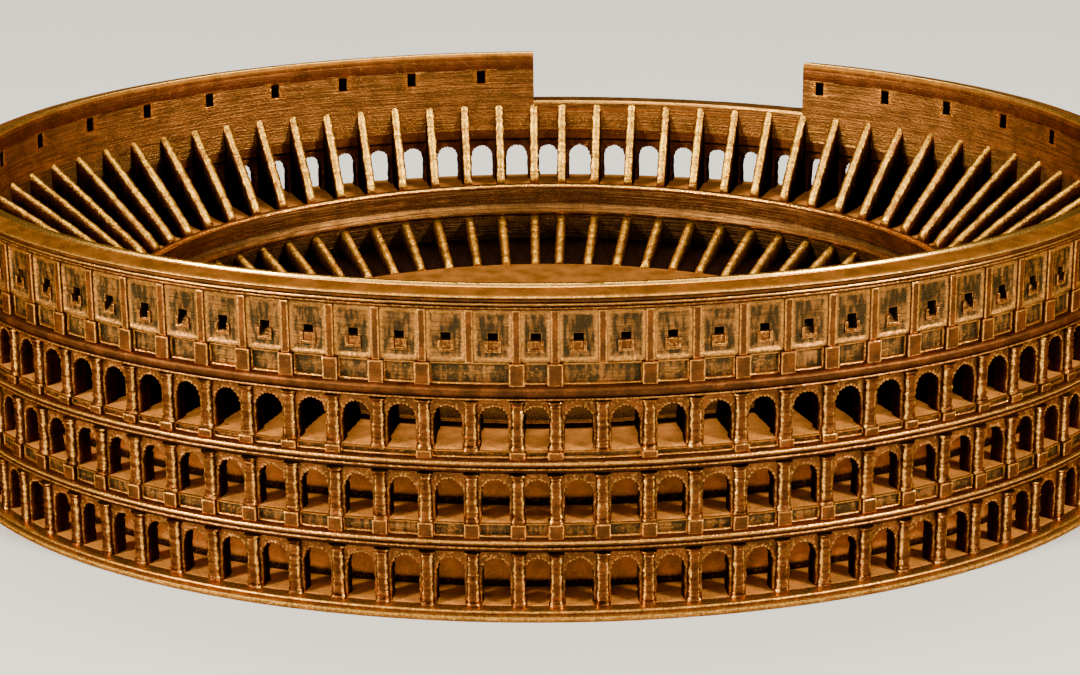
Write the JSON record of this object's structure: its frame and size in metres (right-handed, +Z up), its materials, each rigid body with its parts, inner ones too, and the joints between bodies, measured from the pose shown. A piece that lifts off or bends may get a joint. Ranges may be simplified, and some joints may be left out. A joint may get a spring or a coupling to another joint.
{
  "type": "miniature amphitheatre model",
  "caption": "Small cast bronze-toned model of an oval arcaded amphitheatre: plinth, three arcades, panelled attic open at one side, galleries of radial fins and a flat arena.",
  "frame": {"origin": "centre of the oval on the flat underside", "axes": "+X along the long way of the oval, towards the end nearest the attic's gap seen from the front; -Y is the whole front wall; +Z up"},
  "size_m": [0.076, 0.0576, 0.0193],
  "materials": {
    "cast_bronze": "tumbled cast bronze, bright on edges, matt orange-brown in recesses",
    "patina_panel": "rough cast bronze with dark blue-green patina in sunk panels",
    "matt_recess": "unpolished matt orange-brown cast bronze",
    "polished_edge": "polished bronze on raised edges",
    "layered_wall": "cast bronze with fine horizontal layer lines"
  },
  "bodies": {
    "root": {"base_plate": "matt_recess", "base_step": "polished_edge", "arcade_1": "cast_bronze", "half_columns_1": "polished_edge", "cornice_1": "cast_bronze", "parapet_2": "patina_panel", "pedestals_2": "polished_edge", "arcade_2": "cast_bronze", "half_columns_2": "polished_edge", "cornice_2": "cast_bronze", "parapet_3": "patina_panel", "pedestals_3": "polished_edge", "arcade_3": "cast_bronze", "half_columns_3": "polished_edge", "cornice_3": "cast_bronze", "attic_dado": "patina_panel", "dado_pedestals": "polished_edge", "attic_wall": "patina_panel", "attic_pilasters": "polished_edge", "window_frames": "polished_edge", "crown_moulding": "cast_bronze", "coping": "polished_edge", "broken_wall_top": "layered_wall", "ambulatory_wall_1": "matt_recess", "ambulatory_wall_2": "matt_recess", "ambulatory_floor_2": "matt_recess", "ambulatory_floor_3": "matt_recess", "gallery_floor": "matt_recess", "seating_core": "matt_recess", "ring_wall": "layered_wall", "ring_ledge": "layered_wall", "gallery_rim": "polished_edge", "upper_fins": "polished_edge", "lower_fins": "polished_edge", "arena_floor": "matt_recess"}
  },
  "joints": []
}
